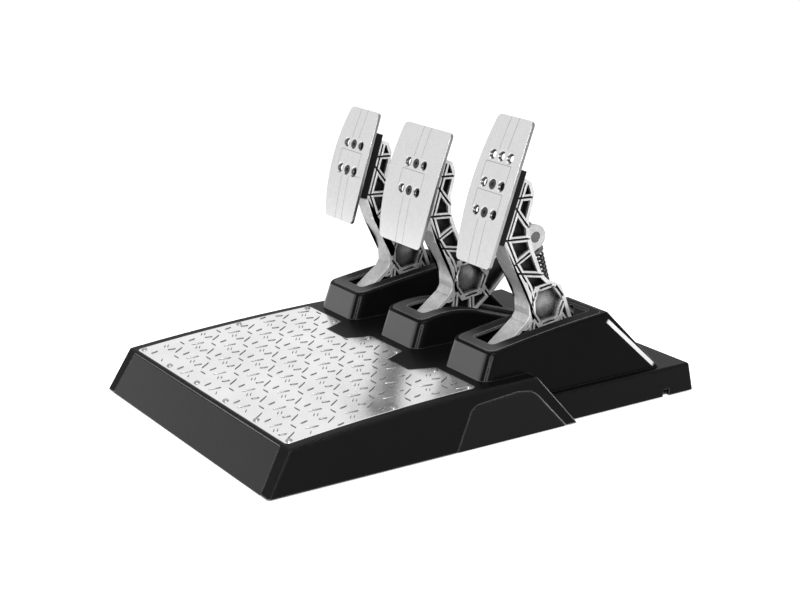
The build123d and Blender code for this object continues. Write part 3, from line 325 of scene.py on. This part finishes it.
def bezel_moulding(kind):
    """Grey moulded frame with painted light: light at the driver's end, nearly black at the rear, with painted
    shade in its corners and highlights painted on its edges.
    """
    finish = Finish(f"{kind}_bezel_moulding")
    low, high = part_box(f"{kind}_slot_bezel")
    y = finish.split(finish.place)[1]
    # Painted light that fades from the driver's end to the rear
    fade = y.rise(*(low.y + (high.y - low.y) * share for share in bezel_fade_shares))
    patch = finish.noise(finish.place, bezel_cloud, 3)
    # A highlight painted along the edges
    edges = finish.painted_edge_highlight(bezel_edge)
    # Painted shade down in the corners
    corners = finish.open_sides(bezel_corner)
    light = (fade * 0.85 + patch * 0.2 + corners * 0.15 - 0.2).most(0.0)
    plain = finish.colour(light, 0.003, 0.060)
    finish.paint(
        Base_Color=finish.colour(edges, plain, 0.22),
        Roughness=patch * 0.1 + 0.58 - fade * 0.28,
        Specular_IOR_Level=0.06,
    )
    finish.spark_grain(0.008 * mm)
    return finish.material


# Metals
rolling_lines = (700, 12, 700)
rolling_depth = 0.004 * mm
sheet_cloud = 26
corner_shade_reach = 3 * mm
sheet_waves = 0.12 * mm
mark_cloud = 90
mark_wear = 0.05 * mm
mark_top = (0.72, 0.97)


def rolled_sheet():
    """Bright rolled sheet: faint rolling lines, light clouds and painted shade in its corners."""
    finish = Finish("rolled_sheet")
    lines = finish.noise(finish.stretch(finish.place, (0, 0, 0), rolling_lines), 1, 3)
    cloud = finish.noise(finish.place, sheet_cloud, 4)
    # Clouds of tone, with shade painted in the corners
    light = (cloud * 0.6 + finish.open_sides(corner_shade_reach) * 0.5).least(1.0)
    finish.paint(
        Base_Color=finish.colour(light, 0.50, 0.90),
        Metallic=1.0,
        Roughness=lines * 0.10 + cloud * 0.14 + 0.07,
    )
    finish.relief(lines * rolling_depth + cloud * sheet_waves)
    return finish.material


def pressed_marks():
    """The tread's raised marks: bright on top, as wear and a painted highlight, and dull with painted shade, dark,
    down their flanks.
    """
    finish = Finish("pressed_marks")
    cloud = finish.noise(finish.place, mark_cloud, 3)
    # Tops lighter by the way they face, as wear and a painted highlight; flanks painted dark as shade
    light = finish.facing()[2].rise(*mark_top) * 0.8 + cloud * 0.2
    finish.paint(
        Base_Color=finish.colour(light, 0.07, 0.62),
        Metallic=1.0,
        Roughness=cloud * 0.12 + 0.34,
    )
    finish.relief(cloud * mark_wear)
    return finish.material


# The pedal arms, in Y and Z from their pivots: the hexagon, and the shin and sole at the knee
hex_from_pivot = (56.8 * mm, 41.3 * mm)
hex_reach = 15.5 * mm
hex_dome = 13.0
arm_half = 10 * mm
rim_shares = (0.955, 0.985)
pocket_shade_shares = (0.80, 0.62)
arm_rise = 156.0
shin = (Vector((20.2, 0.500 * arm_rise)) * mm, Vector((33.8, 0.361 * arm_rise)) * mm)
sole = (Vector((0.0, 0.020 * arm_rise)) * mm, Vector((34.4, 0.185 * arm_rise)) * mm)
shin_run = (shin[0] - shin[1]).normalized()
sole_run = (sole[0] - sole[1]).normalized()
knee_radius = 31 * mm
knee_reach = (-3 * mm, 2.5 * mm)
shin_share = (shin[1] - sole[1]).cross(sole_run) / shin_run.cross(sole_run)
knee_corner = shin[1] - shin_run * shin_share
half_angle = shin_run.angle(sole_run) / 2
knee_centre = knee_corner + (shin_run + sole_run).normalized() * (knee_radius / sin(half_angle))
cast_cloud = 75
cast_blotch = 260
cast_speck = 1100
cast_waves = 0.12 * mm
cast_grain = 0.06 * mm
cast_edge = 0.9 * mm
groove_reach = 10 * mm
pocket_reach = 40 * mm


def rounded_knee(finish, kind):
    """A height that turns the narrow faces' light smoothly round the knee."""
    y, z = finish.split(finish.place)[1:]
    off_y = y - (pivot[kind].y + knee_centre.x)
    off_z = z - (pivot[kind].z + knee_centre.y)
    over = [(off_y * run.x + off_z * run.y).most(0.0) for run in (shin_run, sole_run)]
    bend = (off_y * off_y + off_z * off_z - over[0] ** 2.0 - over[1] ** 2.0) ** 0.5
    return bend.most(knee_radius + knee_reach[0]).least(knee_radius + knee_reach[1])


def casting(kind):
    """Blasted casting: highlights painted on edges and rims, shade painted in grooves and pockets, a domed floor
    in the hexagon.
    """
    finish = Finish(f"{kind}_casting")
    x, y, z = finish.split(finish.place)
    across = abs(x - pivot[kind].x)
    side = y - (pivot[kind].y + hex_from_pivot[0])
    height = z - (pivot[kind].z + hex_from_pivot[1])
    off_middle = side * side + height * height
    dome = off_middle.least(hex_reach**2)
    inside = (off_middle**0.5).rise(hex_reach * 1.02, hex_reach * 0.97)
    # A highlight painted on the rims
    rim = across.rise(*(arm_half * share for share in rim_shares))
    front = abs(finish.facing()[0]).rise(0.5, 0.2)
    outer = finish.open_sides(pocket_reach).rise(0.30, 0.62)
    # Where shade is painted: the pockets between the rims, but not the open front faces
    pocket_shade = across.rise(*(arm_half * share for share in pocket_shade_shares)) * (1.0 - front * outer)
    cloud = finish.noise(finish.place, cast_cloud, 4)
    speck = finish.noise(finish.place, cast_speck, 3, 0.65)
    blotch = finish.noise(finish.place, cast_blotch, 2)
    uneven = (cloud - 0.5) * 0.35 + (speck - 0.5) * 0.55 + (blotch - 0.5) * 0.35
    # Shade painted down in the grooves, and a highlight painted along the edges
    open_sides = finish.open_sides(groove_reach) ** 1.3
    bright = open_sides * 0.62 + finish.painted_edge_highlight(cast_edge) * 0.36
    # Shade painted in the pockets, less of it in the hexagon
    dark = pocket_shade * (0.70 - inside * 0.40)
    light = (uneven * (1.0 - inside * 0.55) + bright + rim * 0.10 - dark).held()
    finish.paint(
        Base_Color=finish.colour(light, 0.006, 0.70),
        Metallic=0.45,
        Roughness=(speck - 0.5) * 0.14 - rim * 0.10 - inside * 0.12 + 0.40,
    )
    grain = speck * cast_grain + cloud * cast_waves
    finish.relief(grain + dome * inside * -hex_dome + rounded_knee(finish, kind) * front)
    return finish.material


# The face plates: their slope and start, in Y and Z from the pivots, and what is cut into them
hole_rows = {"clutch": (43, 66.5), "brake": (43, 66.5), "throttle": (43, 66.5, 90)}
face_slope = {"clutch": radians(17.3), "brake": radians(17.3), "throttle": radians(19.9)}
face_start = {"clutch": (-10.98, 83.46), "brake": (-10.98, 83.46), "throttle": (-14.58, 84.40)}
hole_column = 11.5 * mm
pit_radius = 3.5 * mm
pit_soft = 0.7 * mm
pair_half = 5.3 * mm
frame_half = 16.5 * mm
cut_half = 0.22 * mm
cut_soft = 0.14 * mm
cut_end = 0.5 * mm
pair_gap = 5.5 * mm
side_gap = 2 * mm
cap_gap = 6.4 * mm
cut_depth = 0.02 * mm
hair_depth = 0.006 * mm
hair_lines = (2600, 2600, 14)
broad_lines = (240, 240, 8)
side_shade_facing = (0.35, 0.75)


def engraved(across, along, rows):
    """1 in the fine lines: a pair past the holes, and a frame between the rows."""
    above_rows = along.rise(rows[-1] + pair_gap, rows[-1] + pair_gap + cut_end)
    below_rows = along.rise(rows[0] - pair_gap, rows[0] - pair_gap - cut_end)
    cuts = across.line(pair_half, cut_half, cut_soft) * above_rows.most(below_rows)
    for below, above in zip(rows, rows[1:]):
        cap = above - cap_gap
        foot = along.rise(below + side_gap, below + side_gap + cut_end)
        between = foot * along.rise(cap + cut_half, cap)
        sides = across.line(frame_half, cut_half, cut_soft) * between
        top = along.line(cap, cut_half, cut_soft) * across.rise(frame_half + cut_half, frame_half)
        cuts = cuts.most(sides).most(top)
    return cuts


def countersunk(across, along, rows):
    """1 in the countersunk holes, three to a row."""
    off_column = across.least(abs(across - hole_column))
    off_row = abs(along - rows[0])
    for row in rows[1:]:
        off_row = off_row.least(abs(along - row))
    off_hole = (off_column * off_column + off_row * off_row) ** 0.5
    return off_hole.rise(pit_radius + pit_soft, pit_radius)


def brushed_face(kind):
    """Sheet brushed lengthwise, with shade painted in its countersunk holes and on its narrow sides, and fine cut
    lines.
    """
    finish = Finish(f"{kind}_brushed_sheet")
    x, y, z = finish.split(finish.place)
    slope = face_slope[kind]
    start_y = pivot[kind].y + face_start[kind][0] * mm
    start_z = pivot[kind].z + face_start[kind][1] * mm
    across = abs(x - pivot[kind].x)
    along = (y - start_y) * sin(slope) + (z - start_z) * cos(slope)
    rows = [row * mm for row in hole_rows[kind]]
    cuts = engraved(across, along, rows)
    side_shade = abs(finish.facing()[0]).rise(*side_shade_facing)
    # Shade painted in the countersunk holes and on the narrow sides; the cut lines are darker
    dark = cuts * 0.5 + countersunk(across, along, rows) * 0.82 + side_shade * 0.62
    hairs = finish.noise(finish.stretch(finish.place, (-slope, 0, 0), hair_lines), 1, 4, 0.7)
    broad = finish.noise(finish.stretch(finish.place, (-slope, 0, 0), broad_lines), 1, 2)
    light = (hairs * 0.30 + broad * 0.10 + 0.68 - dark).held()
    finish.paint(
        Base_Color=finish.colour(light, 0.06, 0.78),
        Metallic=1.0,
        Roughness=hairs * 0.10 + broad * 0.04 + 0.20 + cuts * 0.2,
    )
    finish.relief(hairs * hair_depth - cuts * cut_depth)
    return finish.material


coat_cloud = 110
coat_speck = 3000
coat_swing = 0.14


def coat(name, level, rough, metallic=0.0, speckle=0.03 * mm, reach=4 * mm):
    """A thin even coat, clouded a little, with shade painted darker down in corners."""
    finish = Finish(name)
    cloud = finish.noise(finish.place, coat_cloud, 4, 0.65)
    speck = finish.noise(finish.place, coat_speck, 1)
    # Shade painted down in the corners
    light = ((cloud - 0.5) * 1.2 + finish.open_sides(reach) * 0.75).held()
    finish.paint(
        Base_Color=finish.colour(light, level * 0.45, level * 1.15),
        Metallic=metallic,
        Roughness=cloud * coat_swing + (rough - coat_swing / 2),
    )
    finish.relief(speck * speckle)
    return finish.material


solder_resist = (0.006, 0.055, 0.022, 1)
covered_copper = (0.020, 0.14, 0.055, 1)
pad_cells = 420
pad_height = 0.03 * mm


def circuit_board():
    """Green solder resist over faint copper pads."""
    finish = Finish("circuit_board")
    pads = finish.cells(finish.place, pad_cells)
    sockets = {0: pads, 6: solder_resist, 7: covered_copper}
    finish.paint(
        Base_Color=finish.node("Mix", sockets, out=2, data_type="RGBA"),
        Roughness=pads * 0.1 + 0.32,
        Coat_Weight=0.4,
    )
    finish.relief(pads * pad_height)
    return finish.material


finishes = {
    "black_plastic": moulding("black_moulding", 0.0030, 0.34, 0.05, 0.012 * mm),
    "dark_plastic": moulding("spacer_moulding", 0.005, 0.50, 0.08, 0.02 * mm),
    "tread_metal": rolled_sheet(),
    "knuckle_metal": coat("knuckle_coat", 0.13, 0.46, 0.35, 0.16 * mm, 5 * mm),
    "black_steel": coat("black_coat", 0.012, 0.36),
    "zinc_steel": coat("zinc_plate", 0.55, 0.34, 1.0),
    "spring_steel": coat("spring_oxide", 0.020, 0.28, 0.6),
    "bright_steel": coat("ground_steel", 0.72, 0.20, 1.0),
    "rubber": moulding("foot_rubber", 0.016, 0.75, 0.30, 0.03 * mm),
    "board_green": circuit_board(),
    "acetal": moulding("acetal", 0.62, 0.42, 0.5, 0.01 * mm),
    "magnet_nickel": coat("nickel_plate", 0.68, 0.18, 1.0),
}
panel = moulding("panel_moulding", 0.0040, 0.28, 0.07, 0.006 * mm, thin_edge_reach)
node_finishes = {
    "front_casing": casing_moulding(),
    "front_fascia": moulding("fascia_moulding", 0.0045, 0.26, 0.28, 0.006 * mm, thin_edge_reach),
    "left_side_panel": panel,
    "right_side_panel": panel,
    "footrest_screws": coat("screw_heads", 0.34, 0.24, 1.0, reach=1.5 * mm),
}
for kind in kinds:
    node_finishes.update({
        f"{kind}_pedal_arm": casting(kind), f"{kind}_face_plate": brushed_face(kind),
        f"{kind}_slot_bezel": bezel_moulding(kind), f"{kind}_housing": housing_moulding(kind),
    })


# Pieces
merge_gap = 0.004 * mm
flat_fold = radians(0.3)
edge_fold = radians(32)
shade_fold = radians(40)


def only(piece):
    """This piece is the one selected."""
    bpy.ops.object.select_all(action="DESELECT")
    piece.select_set(True)
    bpy.context.view_layer.objects.active = piece


def settle(piece, body, finish):
    """The piece gets its finish and rides on its body."""
    piece.data.materials.clear()
    piece.data.materials.append(finish)
    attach(piece, body)


def stand_for(piece, node):
    """The piece takes the place of a node, with its body, slot and finish."""
    settle(piece, body_of[node], finish_of(node))
    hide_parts(node)


def finish_of(node):
    return node_finishes.get(node) or finishes[slot_of[node]]


def even_shading(piece):
    """Large faces keep their own direction, and small rounded edges turn between them."""
    only(piece)
    bpy.ops.object.shade_smooth_by_angle(angle=shade_fold)
    even = piece.modifiers.new("even", "WEIGHTED_NORMAL")
    even.keep_sharp = True
    bpy.ops.object.modifier_apply(modifier=even.name)


def refine(node, width):
    """A copy of a rigid node with its edges broken, which stands for it."""
    piece = bpy.data.objects.new(f"{node}_finished", nodes[node].data.copy())
    bpy.context.scene.collection.objects.link(piece)
    only(piece)
    bpy.ops.object.mode_set(mode="EDIT")
    bpy.ops.mesh.select_all(action="SELECT")
    bpy.ops.mesh.remove_doubles(threshold=merge_gap)
    bpy.ops.mesh.dissolve_limited(angle_limit=flat_fold)
    bpy.ops.object.mode_set(mode="OBJECT")
    bevel = piece.modifiers.new("edges", "BEVEL")
    bevel.width = width
    bevel.segments = 2
    bevel.limit_method = "ANGLE"
    bevel.angle_limit = edge_fold
    bevel.use_clamp_overlap = False
    bevel.miter_outer = "MITER_ARC"
    bpy.ops.object.modifier_apply(modifier=bevel.name)
    even_shading(piece)
    stand_for(piece, node)


# How wide the edges are broken, in mm
edge_widths = {
    "front_casing": 0.45, "rear_casing": 0.45, "front_fascia": 0.2, "left_side_panel": 0.2,
    "right_side_panel": 0.2, "footrest_plate": 0.3, "brake_knuckle": 0.5, "load_cell_yoke": 0.3,
    "brake_spring_top_seat": 0.25, "brake_rod_nut": 0.25, "footrest_screws": 0.2,
}
for kind in kinds:
    edge_widths.update({
        f"{kind}_housing": 0.4, f"{kind}_slot_bezel": 0.3, f"{kind}_pedal_arm": 0.28,
        f"{kind}_face_plate": 0.3, f"{kind}_face_spacer": 0.5, f"{kind}_pivot_bracket": 0.3,
        f"{kind}_face_screws": 0.15,
    })
for node, width in edge_widths.items():
    refine(node, width * mm)
for node, solid in nodes.items():
    solid.data.materials.clear()
    solid.data.materials.append(finish_of(node))


# Raised marks of the tread, in staggered cells over the crown
cell_across = Vector((49.7, 0.6)) * mm
cell_along = Vector((22.6, 19.4)) * mm
first_cell = Vector((-3.5, -181.5)) * mm
cells_across = range(-9, 10)
cells_along = range(-2, 12)
# Each mark's place in its cell, its half length as a run in X and Y, and its half width, in mm
tread_marks = [
    ((0.0, 0.0), (1.8, 5.7), 0.70),
    ((7.8, -5.6), (-2.2, 1.8), 0.50),
    ((9.2, -3.1), (-2.2, 1.8), 0.50),
    ((19.0, -4.2), (1.4, 3.4), 1.05),
    ((-12.2, 0.0), (-0.7, 3.8), 1.05),
    ((-24.8, -0.9), (-3.9, 5.6), 0.60),
    ((-11.2, -9.9), (4.6, 0.1), 0.60),
]
mark_rise = 0.6 * mm
mark_sink = 0.1 * mm
mark_sides = 12
mark_fold = radians(25)
crest_shares = (0.80, 0.45, 1)
tread_margin = 2.6 * mm
room_shares = (-1.1, 0, 1.1)
above_all = 1.0
least_upward = 0.9


def tread_mark(half_length, half_width):
    """One raised lens with sloping flanks, along X, its foot just under the sheet."""
    bpy.ops.object.select_all(action="DESELECT")
    bpy.ops.mesh.primitive_circle_add(vertices=mark_sides, radius=1, fill_type="NGON")
    mark = bpy.context.object
    bpy.ops.object.mode_set(mode="EDIT")
    bpy.ops.transform.resize(value=(half_length, half_width, 1))
    bpy.ops.mesh.extrude_region_move(TRANSFORM_OT_translate={"value": (0, 0, mark_rise + mark_sink)})
    bpy.ops.transform.resize(value=crest_shares)
    bpy.ops.object.mode_set(mode="OBJECT")
    mesh = mark.data.copy()
    bpy.data.objects.remove(mark)
    mesh.transform(Matrix.Translation((0, 0, -mark_sink)))
    return mesh


def tread_relief():
    """All the tread's marks as one piece, each tilted with the sheet under it."""
    low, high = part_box("footrest_plate")
    solid = bmesh.new()
    solid.from_mesh(nodes["footrest_plate"].data)
    sheet = BVHTree.FromBMesh(solid)
    solid.free()

    def on_sheet(spot):
        place, normal, _, _ = sheet.ray_cast(Vector((spot.x, spot.y, above_all)), Vector((0, 0, -1)))
        return (place, normal) if place is not None and normal.z > least_upward else None

    def has_room(spot):
        within_x = low.x + tread_margin < spot.x < high.x - tread_margin
        within_y = low.y + tread_margin < spot.y < high.y - tread_margin
        return within_x and within_y and on_sheet(spot)

    stamped = []
    for offset, half_run, half_width in tread_marks:
        run = Vector(half_run) * mm
        master = tread_mark(run.length, half_width * mm)
        turn = Matrix.Rotation(run.angle_signed(Vector((1, 0))), 4, "Z")
        for a in cells_across:
            for b in cells_along:
                centre = first_cell + cell_across * a + cell_along * b + Vector(offset) * mm
                if not all(has_room(centre + run * share) for share in room_shares):
                    continue
                place, normal = on_sheet(centre)
                tilt = Vector((0, 0, 1)).rotation_difference(normal).to_matrix().to_4x4()
                mesh = master.copy()
                mesh.transform(Matrix.Translation(place) @ tilt @ turn)
                piece = bpy.data.objects.new("tread_mark", mesh)
                bpy.context.scene.collection.objects.link(piece)
                stamped.append(piece)
    bpy.ops.object.select_all(action="DESELECT")
    for piece in stamped:
        piece.select_set(True)
    bpy.context.view_layer.objects.active = stamped[0]
    bpy.ops.object.join()
    relief = bpy.context.object
    relief.name = "tread_relief"
    bpy.ops.object.shade_smooth_by_angle(angle=mark_fold)
    settle(relief, "base", pressed_marks())


tread_relief()


# Springs, each one round wire along its own line
wire_sides = 12
wire_fold = radians(50)
steps_per_turn = 30
brake_coil = {"radius": 8.3 * mm, "wire": 2.4 * mm, "turns": 11}
return_coil = {"radius": 7.0 * mm, "wire": 2.0 * mm, "turns": 8}
trunnion_to_coil = 10.65 * mm
knuckle_to_coil = 16.65 * mm


def spring(node, foot, head, kind, radius, wire, turns):
    """A coil from foot to head, which takes the place of its node."""
    up = (head - foot).normalized()
    rise = (head - foot).length - wire
    bpy.ops.object.select_all(action="DESELECT")
    bpy.ops.mesh.primitive_circle_add(vertices=wire_sides, radius=wire / 2)
    piece = bpy.context.object
    piece.name = f"{node}_wire"
    start = Matrix.Translation((radius, 0, wire / 2))
    piece.data.transform(start @ Matrix.Rotation(radians(90), 4, "X"))
    wind = piece.modifiers.new("wind", "SCREW")
    wind.axis = "Z"
    wind.iterations = turns
    wind.screw_offset = rise / turns
    wind.steps = steps_per_turn
    wind.render_steps = steps_per_turn
    bpy.ops.object.modifier_apply(modifier=wind.name)
    bpy.ops.object.mode_set(mode="EDIT")
    bpy.ops.mesh.select_all(action="DESELECT")
    bpy.ops.mesh.select_non_manifold()
    bpy.ops.mesh.edge_face_add()
    bpy.ops.mesh.select_all(action="SELECT")
    bpy.ops.mesh.normals_make_consistent(inside=False)
    bpy.ops.object.mode_set(mode="OBJECT")
    lean = Vector((0, 0, 1)).rotation_difference(up).to_matrix().to_4x4()
    piece.data.transform(Matrix.Translation(foot) @ lean)
    bpy.ops.object.shade_smooth_by_angle(angle=wire_fold)
    stand_for(piece, node)
    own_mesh(piece)


knuckle = Vector(joints["knuckle_pivot"]["pos_m"])
trunnion = Vector(joints["trunnion_pivot"]["pos_m"])
down = (trunnion - knuckle).normalized()
coil_foot = trunnion - down * trunnion_to_coil
coil_head = knuckle + down * knuckle_to_coil
spring("brake_spring", coil_foot, coil_head, "brake", **brake_coil)
for kind in ("clutch", "throttle"):
    low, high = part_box(f"{kind}_return_spring")
    middle = (low + high) / 2
    coil_foot = Vector((middle.x, middle.y, low.z))
    coil_head = Vector((middle.x, middle.y, high.z))
    spring(f"{kind}_return_spring", coil_foot, coil_head, kind, **return_coil)


# Camera, floor, lamps and surroundings
camera_data = bpy.data.cameras.new("camera")
camera_data.lens = 72.86
camera_data.sensor_width = 36
camera = bpy.data.objects.new("camera", camera_data)
camera.location = (1.118, -0.737, 0.489)
camera.rotation_euler = (radians(73.18), 0, radians(56.71))
bpy.context.scene.collection.objects.link(camera)
bpy.context.scene.camera = camera

floor_size = 12
floor_drop = 0.2 * mm
matte_floor = (0.60, 0.60, 0.60, 1)
pale_floor = (0.95, 0.95, 0.95, 1)
floor_glow = 0.66


def floor():
    """A matte floor for the lamps' light, which is seen and mirrored as a white one."""
    bpy.ops.object.select_all(action="DESELECT")
    bpy.ops.mesh.primitive_plane_add(size=floor_size, location=(0, 0, -floor_drop))
    plane = bpy.context.object
    plane.name = "floor"
    material = bpy.data.materials.new("pale_floor")
    material.use_nodes = True
    net = Net(material.node_tree)
    net.tree.nodes.clear()
    matte = net.node("BsdfDiffuse", {"Color": matte_floor})
    pale = net.node("BsdfDiffuse", {"Color": pale_floor})
    glow = net.node("Emission", {"Strength": floor_glow})
    bright = net.node("AddShader", {0: pale, 1: glow})
    surface = net.node("MixShader", {0: net.seen_white(), 1: matte, 2: bright})
    net.node("OutputMaterial", {"Surface": surface})
    plane.data.materials.append(material)


def lamp(name, place, target, size, power):
    """A soft rectangular lamp that faces its target."""
    data = bpy.data.lights.new(name, "AREA")
    data.shape = "RECTANGLE"
    data.size, data.size_y = size
    data.energy = power
    light = bpy.data.objects.new(name, data)
    light.location = place
    light.rotation_euler = (Vector(target) - Vector(place)).to_track_quat("-Z", "Y").to_euler()
    bpy.context.scene.collection.objects.link(light)


behind_level = 1.25
ahead_level = 1.15
horizon_level = 0.9
camera_side_level = 0.65
above_level = 0.6
fill_level = 0.05


def surroundings():
    """Soft light from four sides, and plain white where it is seen or mirrored."""
    world = bpy.data.worlds.new("studio")
    bpy.context.scene.world = world
    world.use_nodes = True
    net = Net(world.node_tree)
    net.tree.nodes.clear()
    x, y, z = net.split(net.node("TexCoord", out=0))
    behind = (y * 0.55 - x * 0.83).rise(0.30, 0.85) * z.rise(0.95, 0.25) * behind_level
    glow = z.rise(0.46, 0.12) * ahead_level + z.rise(0.16, 0.02) * horizon_level
    ahead = (x * -0.78 - y * 0.62).rise(0.60, 0.94) * glow
    camera_side = (x * 0.55 - y * 0.83).rise(0.30, 0.80) * z.rise(0.02, 0.22) * camera_side_level
    above = z.rise(0.60, 0.98) * above_level
    level = behind.most(ahead).most(camera_side) + above + fill_level
    around = net.node("Background", {"Strength": level})
    white = net.node("Background", {"Color": (1, 1, 1, 1), "Strength": 1.0})
    both = net.node("MixShader", {0: net.seen_white(), 1: around, 2: white})
    net.node("OutputWorld", {"Surface": both})


floor()
surroundings()
lamp("key", place=(1.30, -0.85, 0.95), target=(0, 0, 0.1), size=(0.7, 0.6), power=38)
lamp("top", place=(-0.1, 0.3, 1.7), target=(0, 0, 0), size=(1.2, 1.2), power=6)

bpy.context.scene.view_settings.view_transform = "Standard"
